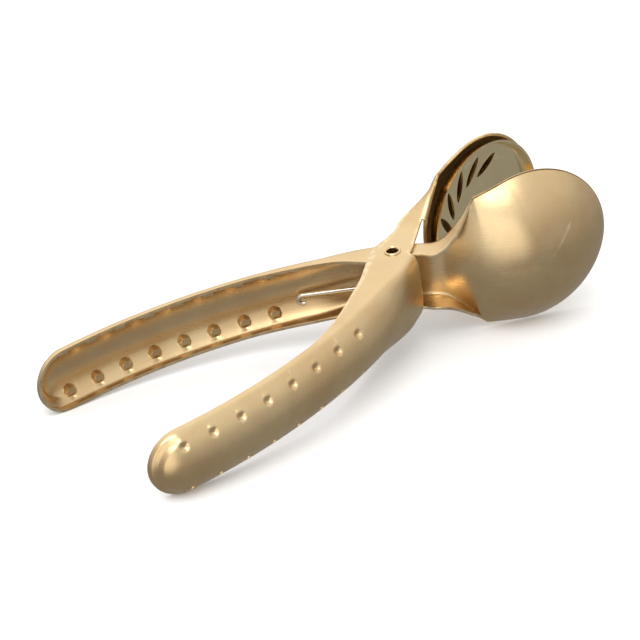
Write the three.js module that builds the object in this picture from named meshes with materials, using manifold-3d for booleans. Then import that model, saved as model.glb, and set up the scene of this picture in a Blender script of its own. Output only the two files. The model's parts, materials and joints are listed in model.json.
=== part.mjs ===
// A hand press of two pressed-sheet levers that cross at a tubular rivet, with a spring between the handles.
// Millimetres. Each lever is drawn in a flat frame: x runs to the jaws, w runs to the lever's own handle side,
// z runs along the pivot. The strainer lever is the mirror image of the bowl lever about w = 0.
import * as THREE from "three";
import { mergeVertices } from "three/addons/utils/BufferGeometryUtils.js";
import Module from "manifold-3d";

const wasm = await Module();
wasm.setup();

// ---- driving sizes --------------------------------------------------------
const sheet = 1.0; // sheet thickness of both levers
const fitGap = 0.3; // clearance between pieces that touch

const handleArc = 190; // radius of the handle's long curve
const handleTop = { x: -95, w: 31 }; // where that curve runs parallel to x
const bowlHandleEnd = -6.3; // arc length from handleTop to the centre of the bowl lever's rounded end
const strainerHandleEnd = -4.5; // and of the strainer lever's
const handleHalf = 10; // half height of the handle channel
const handleCrown = 5.3; // how far the web bows outwards in the handle
const handleLip = 1.6; // depth of the handle's turned-in lip

const pivotCrown = 3.0; // how far the web bows outwards beside the pivot
const innerMargin = 1.5; // sheet left beyond the rivet hole in the bowl lever's cheeks
const outerMargin = 3.9; // sheet left beyond the rivet hole in the strainer lever's cheeks
const innerHalf = 9.5; // half height of the bowl lever at the pivot

const jawAngle = THREE.MathUtils.degToRad(12.5); // each jaw's angle from the centre line, open
const jawReach = 44; // pivot to the centre of the jaws
const rimEdge = 0.2; // how far the rim's own edge turns
const rimOffset = 3.6; // each jaw's rim plane, from the plane through the pivot
const bendRadius = 60; // bend from the handle's curve into the jaw
const bowlRadius = 25.4;
const bowlDepth = 13;
const dishRadius = 26.2;
const dishDepth = 12;
const domeRun = 3.4; // how far the dome's foot runs past the rim towards the pivot
const cornerBack = 16.7; // jaw centre back to the corner where cheek and rim meet
const cornerWide = 3.2; // how far that corner lies past the rim circle's own half width

const windowStart = 4.2; // x where the strainer lever's web is cut off
const windowEnd = 17.2; // distance along the jaw where the web starts again
const windowFlare = 1.8; // how much each side of the window widens towards the jaw

const panShift = 0.8; // how far the pan's centre lies past the dish's
const panInset = 1.3; // how much smaller the pan's rim is than the dish's
const panProud = 3.3; // how far the pan's rim stands out of the dish
const panDepth = 3.7;
const panTaper = 0.9;
const panSheet = 0.8;
const slotCount = 10;
const slotFirst = THREE.MathUtils.degToRad(72); // the first slot, from the line away from the pivot
const slotCircle = 16.2; // radius of the circle through the slots' middles
const slotLong = 10.4;
const slotWide = 2.5;
const slotLean = THREE.MathUtils.degToRad(48); // how far each slot leans off its own radius

const rivetHole = 1.8;
const rivetWall = 0.5;
const rivetFlange = 0.6; // how far the rolled ends reach past the tube
const rivetRoll = 0.5; // thickness of the rolled ends

const wire = 1.4;
const coilGap = 1.1; // between the rivet and the coil
const coilTurns = 3;
const turnGap = 0.3; // between the coil's turns
const legReach = 29; // how far along the handle each spring leg ends, measured back from the pivot

const dimpleRows = 8;
const dimplePitch = 10;
const dimpleFirst = -4.6; // arc length of the first pair, from handleTop
const dimpleInset = 3.07; // distance of each row from the handle's fold
const dimpleRadius = 1.5;
const dimpleDepth = 1.5;

// ---- sizes that follow ----------------------------------------------------
const outerHalf = innerHalf + sheet + fitGap; // half height of the strainer lever at the pivot
const rivetRadius = rivetHole + rivetWall;
const holeRadius = rivetRadius + fitGap;
const arcCentre = new THREE.Vector2(handleTop.x, handleTop.w - handleArc);
const jawAlong = new THREE.Vector2(Math.cos(jawAngle), -Math.sin(jawAngle));
const jawOut = new THREE.Vector2(-Math.sin(jawAngle), -Math.cos(jawAngle));
const line = foldLine();
const pivotAt = handleArc * Math.atan2(-arcCentre.x, -arcCentre.y);
const pivotDepth = handleArc - arcCentre.length();
const jawAt = line.straightFrom + jawReach - line.straightU;
const cornerAt = jawAt - cornerBack;
const panRadius = dishRadius - panInset;
const panReach = jawReach + panShift;
const panRimOffset = rimOffset - panProud;
const coilRadius = rivetRadius + coilGap + 0.5 * wire;
const coilPitch = wire + turnGap;
const dimpleHeight = handleHalf - dimpleInset;

// The fold line runs from the handle's arc through a bend into the straight jaw, each tangent to the next.
function foldLine() {
  const offset = rimOffset - bendRadius;
  const along = arcCentre.dot(jawAlong);
  const out = arcCentre.dot(jawOut);
  const straightU = along + Math.sqrt((handleArc + bendRadius) ** 2 - (offset - out) ** 2);
  const bendCentre = jawAlong.clone().multiplyScalar(straightU).addScaledVector(jawOut, offset);
  const toBend = bendCentre.clone().sub(arcCentre);
  const bendFrom = handleArc * Math.atan2(toBend.x, toBend.y);
  const straightFrom = bendFrom + bendRadius * (bendFrom / handleArc - jawAngle);
  return { straightU, bendCentre, bendFrom, straightFrom };
}

// A place on the sheet: s along the fold line, lift outwards from it, z along the pivot.
function place(s, lift, z) {
  let slope = s / handleArc;
  let x = arcCentre.x + handleArc * Math.sin(slope);
  let w = arcCentre.y + handleArc * Math.cos(slope);
  if (s > line.bendFrom) {
    slope = Math.max(jawAngle, line.bendFrom / handleArc - (s - line.bendFrom) / bendRadius);
    x = line.bendCentre.x - bendRadius * Math.sin(slope);
    w = line.bendCentre.y - bendRadius * Math.cos(slope);
    const past = Math.max(0, s - line.straightFrom);
    x += past * Math.cos(slope);
    w -= past * Math.sin(slope);
  }
  return new THREE.Vector3(x + lift * Math.sin(slope), w + lift * Math.cos(slope), z);
}

// A smooth value through hand-set [place, value] pairs.
function through(pairs, s) {
  const last = pairs.length - 1;
  if (s <= pairs[0][0]) return pairs[0][1];
  if (s >= pairs[last][0]) return pairs[last][1];
  const i = pairs.findIndex((pair) => pair[0] > s) - 1;
  const slopeAt = (k) => {
    if (k === 0 || k === last) return 0;
    return (pairs[k + 1][1] - pairs[k - 1][1]) / (pairs[k + 1][0] - pairs[k - 1][0]);
  };
  const step = pairs[i + 1][0] - pairs[i][0];
  const t = (s - pairs[i][0]) / step;
  const keep = (1 + 2 * t) * (1 - t) ** 2 * pairs[i][1] + t * t * (3 - 2 * t) * pairs[i + 1][1];
  return keep + step * t * (1 - t) * ((1 - t) * slopeAt(i) - t * slopeAt(i + 1));
}

// How high an arc of the given height stands over z, across a half width.
function arcHeight(height, half, z) {
  if (Math.abs(height) < 0.02) return 0;
  const radius = (height * height + half * half) / (2 * Math.abs(height));
  return Math.sign(height) * (Math.abs(height) - radius + Math.sqrt(Math.max(0, radius * radius - z * z)));
}

// How high a flat web with round corners stands over z.
function boxHeight(height, half, z) {
  return height * (1 - Math.abs(z / half) ** 3.4) ** (1 / 3.4);
}

// ---- lever outline --------------------------------------------------------
// The half height of a lever at s, its web's bow and its cheek's depth.
function leverShape({ handleEnd, half, jawRadius, jawDepth, flare, easeShare, cheekPairs }) {
  const cornerHalf = Math.sqrt(jawRadius ** 2 - cornerBack ** 2) + cornerWide;
  const flareAt = cornerAt - (cornerHalf - half) / flare;
  const ease = easeShare * (cornerAt - flareAt);
  const halfAt = (s) => {
    const past = s - flareAt;
    if (past > ease) return half + flare * past;
    if (past > -ease) return half + (flare * (past + ease) ** 2) / (4 * ease);
    return through([[pivotAt - 28, handleHalf], [pivotAt - 8, half]], s);
  };
  const bowAt = (s) => {
    const back = (jawAt - s) / (jawRadius + domeRun);
    const dome = back < 1 ? jawDepth * (1 - Math.max(0, back) ** 2) ** 1.35 : 0;
    const crown = through(
      [[pivotAt - 40, handleCrown], [pivotAt, pivotCrown], [pivotAt + 16, 0]], s);
    return crown - dome;
  };
  const cheekAt = (s) => through([...cheekPairs, [cornerAt, rimEdge]], s);
  return { handleEnd, jawRadius, cornerHalf, halfAt, bowAt, cheekAt };
}

// Stations round half of the outline: each has a point on the spine and one on the edge.
function stations(shape) {
  const list = [];
  const { handleEnd } = shape;
  const endSteps = 5;
  for (let i = 0; i < endSteps; i++) {
    const turn = (i / endSteps) * 0.5 * Math.PI;
    list.push({
      spine: handleEnd, edge: handleEnd - handleHalf * Math.cos(turn), half: handleHalf * Math.sin(turn),
      bow: handleCrown, cheek: handleLip, fan: true });
  }
  const straight = (s) => list.push({
    spine: s, edge: s, half: shape.halfAt(s), bow: shape.bowAt(s), cheek: shape.cheekAt(s) });
  spread(handleEnd, pivotAt - 30, 12, straight);
  spread(pivotAt - 30, pivotAt + 10, 4.5, straight);
  spread(pivotAt + 10, cornerAt, 2.7, straight);
  const cornerReach = Math.hypot(cornerBack, shape.cornerHalf);
  const cornerTurn = Math.atan2(shape.cornerHalf, -cornerBack);
  const touch = cornerTurn - Math.acos(shape.jawRadius / cornerReach);
  const touchAt = jawAt + shape.jawRadius * Math.cos(touch);
  const touchHalf = shape.jawRadius * Math.sin(touch);
  const rimSteps = 4;
  for (let i = 0; i < rimSteps; i++) {
    const t = i / rimSteps;
    const spine = THREE.MathUtils.lerp(cornerAt, jawAt, t);
    list.push({
      spine, edge: THREE.MathUtils.lerp(cornerAt, touchAt, t),
      half: THREE.MathUtils.lerp(shape.cornerHalf, touchHalf, t), bow: shape.bowAt(spine), cheek: rimEdge });
  }
  const jawSteps = 9;
  for (let i = 0; i <= jawSteps; i++) {
    const turn = touch * (1 - i / jawSteps);
    list.push({
      spine: jawAt, edge: jawAt + shape.jawRadius * Math.cos(turn), half: shape.jawRadius * Math.sin(turn),
      bow: shape.bowAt(jawAt), cheek: rimEdge, fan: true });
  }
  return list;
}

function spread(from, to, step, make) {
  const count = Math.max(1, Math.round((to - from) / step));
  for (let i = 0; i < count; i++) make(THREE.MathUtils.lerp(from, to, i / count));
}

// One half of the sheet's middle surface, from the spine out to the free edge of the cheek.
function halfRow(station, side) {
  const across = station.fan ? Math.hypot(station.edge - station.spine, station.half) : station.half;
  const fold = 0.5 * sheet;
  const cheeked = THREE.MathUtils.smoothstep(station.cheek, rimEdge, 3);
  const square = THREE.MathUtils.smoothstep(station.spine, pivotAt - 26, pivotAt - 6)
    * (1 - THREE.MathUtils.smoothstep(station.spine, pivotAt + 12, pivotAt + 20));
  const row = [];
  const webEdge = (across - fold) / across;
  for (const part of [0, 0.3, 0.56, 0.8, 1]) {
    const t = part * webEdge;
    const round = arcHeight(station.bow, across, t * across);
    const boxed = station.bow > 0 ? boxHeight(station.bow, across, t * across) : round;
    const lift = THREE.MathUtils.lerp(round, boxed, square);
    const s = THREE.MathUtils.lerp(station.spine, station.edge, t);
    row.push(place(s, lift, side * t * station.half));
  }
  const turn = THREE.MathUtils.lerp(webEdge + 0.5 * (1 - webEdge), 1, cheeked);
  const turnAt = THREE.MathUtils.lerp(station.spine, station.edge, turn);
  row.push(place(turnAt, -cheeked * fold, side * turn * station.half));
  row.push(place(station.edge, -station.cheek, side * station.half));
  return row;
}

// ---- meshes and solids ----------------------------------------------------
// Joins rows of points into quads; points that share a place share a vertex.
function gridMesh(rows) {
  const points = [];
  const known = new Map();
  const indexOf = (point) => {
    const key = [point.x, point.y, point.z].map((value) => Math.round(value * 5000)).join();
    if (!known.has(key)) {
      known.set(key, points.length);
      points.push(point.clone());
    }
    return known.get(key);
  };
  const quads = [];
  for (let i = 0; i + 1 < rows.length; i++) {
    for (let j = 0; j + 1 < rows[i].length; j++) {
      quads.push([rows[i][j], rows[i + 1][j], rows[i + 1][j + 1], rows[i][j + 1]].map(indexOf));
    }
  }
  const triangles = [];
  for (const [a, b, c, d] of quads) {
    if (a !== b && b !== c && a !== c) triangles.push([a, b, c]);
    if (a !== c && c !== d && a !== d) triangles.push([a, c, d]);
  }
  return { points, triangles };
}

// Gives an open middle surface its thickness and closes it round its free edges.
function thicken({ points, triangles }, thickness) {
  const normals = points.map(() => new THREE.Vector3());
  const faces = [];
  for (const [a, b, c] of triangles) {
    const ab = points[b].clone().sub(points[a]);
    const ac = points[c].clone().sub(points[a]);
    const face = ab.cross(ac);
    for (const k of [a, b, c]) normals[k].add(face);
    faces.push(face.clone().normalize());
  }
  normals.forEach((normal) => normal.normalize());
  const miter = points.map(() => 1);
  triangles.forEach((triangle, i) => triangle.forEach((k) => {
    miter[k] = Math.min(miter[k], Math.max(0.6, faces[i].dot(normals[k])));
  }));
  const count = points.length;
  const positions = [];
  for (const side of [0.5, -0.5]) {
    points.forEach((point, k) => {
      const moved = point.clone().addScaledVector(normals[k], (side * thickness) / miter[k]);
      positions.push(moved.x, moved.y, moved.z);
    });
  }
  const index = [];
  const open = new Map();
  for (const [a, b, c] of triangles) {
    index.push(a, b, c, a + count, c + count, b + count);
    for (const [from, to] of [[a, b], [b, c], [c, a]]) {
      if (!open.delete(`${to},${from}`)) open.set(`${from},${to}`, [from, to]);
    }
  }
  for (const [from, to] of open.values()) {
    index.push(to, from, from + count, to, from + count, to + count);
  }
  return { positions, index };
}

function solidOf({ positions, index }) {
  return new wasm.Manifold(new wasm.Mesh({
    numProp: 3, vertProperties: new Float32Array(positions), triVerts: new Uint32Array(index) }));
}

function solidOfGeometry(geometry) {
  geometry.deleteAttribute("uv");
  geometry.deleteAttribute("normal");
  const merged = mergeVertices(geometry, 1e-4);
  return solidOf({ positions: merged.getAttribute("position").array, index: merged.getIndex().array });
}

function geometryOf(solid, mirrored = false) {
  const { vertProperties, triVerts } = solid.getMesh();
  const geometry = new THREE.BufferGeometry();
  geometry.setAttribute("position", new THREE.BufferAttribute(Float32Array.from(vertProperties), 3));
  const index = Array.from(triVerts);
  if (mirrored) {
    geometry.scale(1, -1, 1);
    for (let i = 0; i < index.length; i += 3) [index[i], index[i + 1]] = [index[i + 1], index[i]];
  }
  geometry.setIndex(index);
  geometry.computeVertexNormals();
  return geometry;
}

// ---- features of a lever --------------------------------------------------
function leverSheet(shape) {
  const list = stations(shape);
  const upper = gridRows(list, 1);
  const lower = gridRows(list, -1).map((row) => row.reverse());
  const rows = upper.map((row, i) => [...lower[i], ...row]);
  return solidOf(thicken(gridMesh(rows), sheet));
}

function gridRows(list, side) {
  return list.map((station) => halfRow(station, side));
}

// A short turned plug that stands along the sheet's normal at one dimple.
function dimplePlug(k, side, profile) {
  const s = dimpleFirst + (k * dimplePitch * handleArc) / (handleArc + handleCrown - 1.6);
  const bowRadius = (handleCrown ** 2 + handleHalf ** 2) / (2 * handleCrown);
  const tilt = Math.asin(dimpleHeight / bowRadius);
  const centre = place(s, arcHeight(handleCrown, handleHalf, dimpleHeight), side * dimpleHeight);
  const out = place(s, 1, 0).sub(place(s, 0, 0));
  const normal = out.multiplyScalar(Math.cos(tilt));
  normal.z = side * Math.sin(tilt);
  const points = profile.map(([radius, height]) => new THREE.Vector2(radius, height));
  const plug = new THREE.LatheGeometry(points, 8);
  plug.applyQuaternion(new THREE.Quaternion().setFromUnitVectors(new THREE.Vector3(0, 1, 0), normal));
  plug.translate(centre.x, centre.y, centre.z);
  return solidOfGeometry(plug);
}

function withDimples(lever) {
  const outer = 0.5 * sheet;
  const bump = [
    [0, -outer - dimpleDepth], [0.6 * dimpleRadius, -outer - dimpleDepth],
    [dimpleRadius + 0.4, -outer + 0.2], [0, -outer + 0.2]];
  const dent = [
    [0, outer - dimpleDepth], [0.45 * dimpleRadius, outer - dimpleDepth],
    [dimpleRadius, outer], [dimpleRadius, outer + 1], [0, outer + 1]];
  let result = lever;
  for (let k = 0; k < dimpleRows; k++) {
    for (const side of [1, -1]) {
      result = result.add(dimplePlug(k, side, bump)).subtract(dimplePlug(k, side, dent));
    }
  }
  return result;
}

function withRivetHole(lever) {
  const hole = new THREE.CylinderGeometry(holeRadius, holeRadius, 4 * outerHalf, 20);
  hole.rotateX(0.5 * Math.PI);
  return lever.subtract(solidOfGeometry(hole));
}

// The strainer lever's web is cut away beside the pivot, so that the other lever can pass through it.
function withWindow(lever) {
  const endAt = jawAt - jawReach + windowEnd;
  const startAt = handleArc * Math.asin((windowStart - arcCentre.x) / (handleArc + pivotCrown));
  const outline = new THREE.Shape();
  const inside = -1.6;
  const beyond = 7;
  const steps = 6;
  for (let i = 0; i <= steps; i++) {
    const corner = place(THREE.MathUtils.lerp(startAt, endAt, i / steps), inside, 0);
    if (i === 0) outline.moveTo(corner.x, corner.y);
    else outline.lineTo(corner.x, corner.y);
  }
  for (let i = steps; i >= 0; i--) {
    const corner = place(THREE.MathUtils.lerp(startAt, endAt, i / steps), beyond, 0);
    outline.lineTo(corner.x, corner.y);
  }
  const tall = innerHalf + 0.5 * sheet + 0.5 * fitGap;
  const block = new THREE.ExtrudeGeometry(outline, { depth: 2 * tall, bevelEnabled: false });
  block.translate(0, 0, -tall);
  const corners = block.getAttribute("position");
  const span = place(endAt, 0, 0).x - windowStart;
  for (let i = 0; i < corners.count; i++) {
    const along = THREE.MathUtils.clamp((corners.getX(i) - windowStart) / span, 0, 1);
    corners.setZ(i, Math.sign(corners.getZ(i)) * (tall + windowFlare * along ** 2));
  }
  return lever.subtract(solidOfGeometry(block));
}

// ---- pieces ---------------------------------------------------------------
function bowlLever() {
  const cheek = pivotDepth + holeRadius + innerMargin;
  const cheekPairs = [
    [pivotAt - 50, handleLip], [pivotAt - 30, handleLip + 1], [pivotAt - 17, handleLip + 2],
    [pivotAt - 10, 0.68 * cheek], [pivotAt - 4, 0.97 * cheek], [pivotAt, 0.98 * cheek], [pivotAt + 5, 0.76 * cheek],
    [pivotAt + 8, 0.74 * cheek], [pivotAt + 11, 0.86 * cheek], [pivotAt + 14, 0.87 * cheek], [cornerAt - 8, 0.64 * cheek]];
  const shape = leverShape({
    handleEnd: bowlHandleEnd, half: innerHalf, jawRadius: bowlRadius, jawDepth: bowlDepth, flare: 1.12, easeShare: 0.35, cheekPairs });
  return geometryOf(withRivetHole(withDimples(leverSheet(shape))));
}

function strainerLever() {
  const cheek = pivotDepth + holeRadius + outerMargin;
  const cheekPairs = [
    [pivotAt - 56, handleLip], [pivotAt - 40, handleLip + 1.8], [pivotAt - 26, 0.57 * cheek],
    [pivotAt - 17, 0.7 * cheek], [pivotAt - 9, 0.87 * cheek], [pivotAt, cheek], [pivotAt + 5, 0.9 * cheek],
    [pivotAt + 11, 0.76 * cheek], [pivotAt + 16, 0.7 * cheek], [cornerAt - 8, 0.5 * cheek]];
  const shape = leverShape({
    handleEnd: strainerHandleEnd, half: outerHalf, jawRadius: dishRadius, jawDepth: dishDepth, flare: 1.25, easeShare: 0.7, cheekPairs });
  return geometryOf(withRivetHole(withWindow(withDimples(leverSheet(shape)))), true);
}

// A shallow round pan, opening towards -y, with leaf-shaped slots in a ring that is open away from the pivot.
function strainerPan() {
  const profile = [
    [0, panDepth - panSheet], [panRadius - panTaper - panSheet, panDepth - panSheet], [panRadius - panSheet, 0],
    [panRadius, 0], [panRadius - panTaper, panDepth], [0, panDepth]];
  const turned = new THREE.LatheGeometry(profile.map(([r, y]) => new THREE.Vector2(r, y)), 40);
  let pan = solidOfGeometry(turned);
  const half = 0.5 * slotLong;
  for (let i = 0; i < slotCount; i++) {
    const slot = new THREE.Shape();
    slot.moveTo(-half, 0);
    slot.quadraticCurveTo(0, slotWide, half, 0);
    slot.quadraticCurveTo(0, -slotWide, -half, 0);
    const leaf = new THREE.ExtrudeGeometry(slot, { depth: 2 * panDepth, bevelEnabled: false, curveSegments: 4 });
    leaf.rotateX(-0.5 * Math.PI);
    leaf.rotateY(slotLean);
    leaf.translate(slotCircle, 0, 0);
    leaf.rotateY(slotFirst + (i * 2 * (Math.PI - slotFirst)) / (slotCount - 1));
    pan = pan.subtract(solidOfGeometry(leaf));
  }
  return geometryOf(pan);
}

function pivotTube() {
  const seat = outerHalf + 0.5 * sheet + fitGap;
  const end = seat + rivetRoll;
  const wide = rivetRadius + rivetFlange;
  const section = [
    [rivetHole, -end], [wide, -end], [wide, -seat], [rivetRadius, -seat], [rivetRadius, seat], [wide, seat],
    [wide, end], [rivetHole, end], [rivetHole, -end]];
  const tube = new THREE.LatheGeometry(section.map(([r, y]) => new THREE.Vector2(r, y)), 24);
  tube.rotateX(0.5 * Math.PI);
  return geometryOf(solidOfGeometry(tube));
}

// A wire coiled round the tube, with a straight leg along the inside of each handle.
function torsionSpring() {
  const legAt = pivotAt - legReach;
  const lift = 0.8 * handleCrown - 0.5 * sheet - 0.5 * wire - fitGap;
  const tip = place(legAt, lift, 0);
  const reach = Math.hypot(tip.x, tip.y);
  const leave = Math.atan2(tip.y, tip.x) - Math.acos(coilRadius / reach);
  const sweep = 2 * leave + 2 * Math.PI * coilTurns;
  const low = (-0.5 * coilPitch * sweep) / (2 * Math.PI);
  const points = [new THREE.Vector3(tip.x, tip.y, low)];
  const touch = new THREE.Vector3(coilRadius * Math.cos(leave), coilRadius * Math.sin(leave), low);
  for (const t of [0.35, 0.7, 0.9]) points.push(points[0].clone().lerp(touch, t));
  const steps = coilTurns * 12;
  for (let i = 0; i <= steps; i++) {
    const turn = leave - (sweep * i) / steps;
    points.push(new THREE.Vector3(
      coilRadius * Math.cos(turn), coilRadius * Math.sin(turn), low - (2 * low * i) / steps));
  }
  for (const point of points.slice(0, 4).reverse()) points.push(new THREE.Vector3(point.x, -point.y, -low));
  const section = new THREE.Shape();
  section.absarc(0, 0, 0.5 * wire, 0, 2 * Math.PI);
  return new THREE.ExtrudeGeometry(section, {
    steps: 76, curveSegments: 4, bevelEnabled: false, extrudePath: new THREE.CatmullRomCurve3(points) });
}

// ---- assembly -------------------------------------------------------------
const gold = new THREE.MeshStandardMaterial({ color: "#bc985f", roughness: 0.34, metalness: 1 });
const polished = new THREE.MeshStandardMaterial({ color: "#cdb98a", roughness: 0.08, metalness: 1 });
const silver = new THREE.MeshStandardMaterial({ color: "#b9b4aa", roughness: 0.25, metalness: 1 });

function named(name, geometry, material) {
  const mesh = new THREE.Mesh(geometry, material.clone());
  mesh.name = name;
  return mesh;
}

const press = new THREE.Group();
press.add(named("bowl_lever", bowlLever(), gold));
press.add(named("strainer_lever", strainerLever(), gold));
press.add(named("pivot_tube", pivotTube(), gold));
press.add(named("torsion_spring", torsionSpring(), silver));

const pan = named("strainer_pan", strainerPan(), polished);
pan.rotation.z = jawAngle;
pan.position.set(panReach * jawAlong.x - panRimOffset * Math.sin(jawAngle),
  panReach * Math.sin(jawAngle) + panRimOffset * Math.cos(jawAngle), 0);
press.add(pan);

// The press lies on its side, leaning on the two handle ends and the lowest point of each jaw's rim.
const lowHandle = handleHalf + 0.5 * sheet;
const lowJaw = dishRadius + 0.5 * sheet;
const leanRun = jawReach * Math.cos(jawAngle) - place(bowlHandleEnd, 0, 0).x;
press.rotation.y = -Math.asin((lowJaw - lowHandle) / leanRun);
press.updateMatrixWorld(true);
const box = new THREE.Box3().setFromObject(press, true);
press.position.set(-0.5 * (box.min.x + box.max.x), -0.5 * (box.min.y + box.max.y), -box.min.z);

const root = new THREE.Group();
root.add(press);
root.updateMatrixWorld(true);

export default root;
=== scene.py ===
# A hand press: two pressed, gold-coated sheet levers, a polished slotted pan,
# a hollow rivet and a wire spring.
import json
import math
import bpy
from mathutils import Matrix, Vector


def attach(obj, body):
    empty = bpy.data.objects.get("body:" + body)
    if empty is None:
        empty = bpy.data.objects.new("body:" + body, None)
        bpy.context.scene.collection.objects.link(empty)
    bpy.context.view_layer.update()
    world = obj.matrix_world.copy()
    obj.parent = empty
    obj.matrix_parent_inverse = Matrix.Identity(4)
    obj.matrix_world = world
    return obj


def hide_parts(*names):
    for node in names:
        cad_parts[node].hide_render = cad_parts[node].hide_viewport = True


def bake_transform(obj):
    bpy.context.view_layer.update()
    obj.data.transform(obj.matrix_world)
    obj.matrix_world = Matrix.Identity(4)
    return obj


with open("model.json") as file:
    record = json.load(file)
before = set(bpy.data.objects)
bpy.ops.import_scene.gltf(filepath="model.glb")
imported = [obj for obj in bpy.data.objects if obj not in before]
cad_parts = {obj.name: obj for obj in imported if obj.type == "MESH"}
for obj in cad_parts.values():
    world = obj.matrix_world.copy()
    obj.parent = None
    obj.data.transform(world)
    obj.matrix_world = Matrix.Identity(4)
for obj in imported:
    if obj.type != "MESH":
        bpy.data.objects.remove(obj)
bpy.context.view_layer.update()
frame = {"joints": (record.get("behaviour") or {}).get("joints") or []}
print("frame loaded")

mm = 0.001

# The levers are drawn flat: x runs to the jaws, y to the bowl lever's handle, z along the rivet.
hinge = frame["joints"][0]
hingeAxis = Vector(hinge["axis"]).normalized()
hingeSide = Vector((0, 1, 0))
hingeAlong = hingeSide.cross(hingeAxis).normalized()
pressTurn = Matrix((hingeAlong, hingeSide, hingeAxis)).transposed().to_4x4()
pressPlace = Matrix.Translation(hinge["pos_m"]) @ pressTurn @ Matrix.Scale(mm, 4)

# Sizes that both levers share, in mm.
lever = {
    "sheet": 1.0,
    "handleArc": 190.0,             # radius of the handle's long curve
    "handleTop": (-95.0, 31.0),     # where that curve runs parallel to x
    "handleHalf": 10.0,
    "handleCrown": 5.3,             # how far the web bows out
    "handleLip": 1.6,               # depth of the turned-in lip
    "pivotCrown": 3.0,
    "jawAngle": math.radians(12.5),
    "jawReach": 44.0,
    "rimOffset": 3.6,
    "bendRadius": 60.0,
    "domeRun": 3.4,
    "domePower": 1.35,
    "cornerBack": 16.7,
    "cornerWide": 3.2,
    "rimEdge": 0.2,
    "webSoft": 1.0,                 # sheet taken up by the fold at the handle's edge
    "neckSoft": 1.7,                # and at the neck's
    "rimSoft": 0.5,
    "stepDrop": 0.85,               # small step pressed round the handle's end
    "stepFrom": 0.73,
    "stepTo": 0.84,
    "rimRound": 0.2,
    "rimAngle": math.radians(62),   # edges sharper than this are rounded
    "squareness": 3.4,
    # Along from the rivet:
    "neckFrom": -28,                # where the handle starts to narrow
    "neckTo": -8,
    "crownFrom": -40,               # where the web starts to flatten
    "crownTo": 16,
    "squareFrom": (-26, -6),        # where the web turns square
    "squareTo": (12, 20),           # and where it turns round again
    "softFrom": -26,                # where the fold grows to the neck's
    "cornerRise": 8,                # the cheek runs up to the corner over this length
}
weldReach = 0.002                   # points closer than this are joined

# The rows of dimples, in mm.
dimples = {
    "rows": 8,
    "pitch": 10.0,
    "first": -4.6,                  # arc length of the first pair
    "height": 6.93,                 # from the middle of the handle
    "dentFloor": 0.7,               # the dent's bottom is flat out to here
    "dentRadius": 1.75,
    "dentDepth": 0.75,
    "bumpTop": 1.5,                 # the bump's top is flat out to here
    "bumpFoot": 2.05,
    "bumpRise": 0.95,
    "ring": 2.2,                    # the grid is round out to here
    "close": 2.4,                   # its rows lie close together out to here
    "ease": 3.0,                    # and it is straight again from here
    "drop": 1.6,                    # taken off the crown, for the length of the pitch
    "tilt": 1.22,                   # how much longer the bowed web is than its height
    "foldShare": 1.25,              # rings reach a quarter of the way round the fold
    "none": 9.0,                    # a distance past every ring
}

# How many rows or columns the grid has in each stretch.
grid = {
    "tip": 14, "between": 8, "dimple": 18, "neck": 4, "rivet": 48, "window": 24,
    "dish": 26, "corner": 16, "rim": 64,
    "crown": 9, "underDimples": 16, "fold": 6, "cheek": 8,
    "rivetFrom": -30,               # along from the rivet, where its rows start
}

rivet = {
    "hole": 1.8, "wall": 0.5, "flange": 0.65, "roll": 0.75, "clearance": 0.3, "sides": 72,
    "gap": 0.06,                    # between the roll and the cheek
    "rollParts": 10, "rollFrom": 170, "rollStep": 25,
    "lip": 0.05,                    # the roll's foot stands out this far
    "lipDepth": 0.3,
    "drill": 60,                    # longer than the levers are wide
}
drillRadius = rivet["hole"] + rivet["wall"] + rivet["clearance"]


def smooth(value, low, high):
    t = min(1.0, max(0.0, (value - low) / (high - low)))
    return t * t * (3 - 2 * t)


def mix(a, b, t):
    return a + (b - a) * t


# A smooth value through listed (place, value) pairs.
def through(pairs, s):
    last = len(pairs) - 1
    if s <= pairs[0][0]:
        return pairs[0][1]
    if s >= pairs[last][0]:
        return pairs[last][1]
    i = max(k for k in range(last) if pairs[k][0] <= s)

    def slopeAt(k):
        if k in (0, last):
            return 0.0
        return (pairs[k + 1][1] - pairs[k - 1][1]) / (pairs[k + 1][0] - pairs[k - 1][0])

    step = pairs[i + 1][0] - pairs[i][0]
    t = (s - pairs[i][0]) / step
    keep = (1 + 2 * t) * (1 - t) ** 2 * pairs[i][1] + t * t * (3 - 2 * t) * pairs[i + 1][1]
    return keep + step * t * (1 - t) * ((1 - t) * slopeAt(i) - t * slopeAt(i + 1))


# The fold line: the handle's arc, a bend, then the straight jaw, each tangent to the next.
arcCentre = Vector((lever["handleTop"][0], lever["handleTop"][1] - lever["handleArc"]))
jawAlong = Vector((math.cos(lever["jawAngle"]), -math.sin(lever["jawAngle"])))
jawOut = Vector((-math.sin(lever["jawAngle"]), -math.cos(lever["jawAngle"])))
bendOffset = lever["rimOffset"] - lever["bendRadius"]
straightU = arcCentre.dot(jawAlong) + math.sqrt(
    (lever["handleArc"] + lever["bendRadius"]) ** 2 - (bendOffset - arcCentre.dot(jawOut)) ** 2)
bendCentre = jawAlong * straightU + jawOut * bendOffset
bendFrom = lever["handleArc"] * math.atan2(*(bendCentre - arcCentre))
straightFrom = bendFrom + lever["bendRadius"] * (bendFrom / lever["handleArc"] - lever["jawAngle"])
pivotAt = lever["handleArc"] * math.atan2(-arcCentre.x, -arcCentre.y)
pivotDepth = lever["handleArc"] - arcCentre.length
jawAt = straightFrom + lever["jawReach"] - straightU
cornerAt = jawAt - lever["cornerBack"]
endRun = 0.5 * math.pi * lever["handleHalf"]


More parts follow.
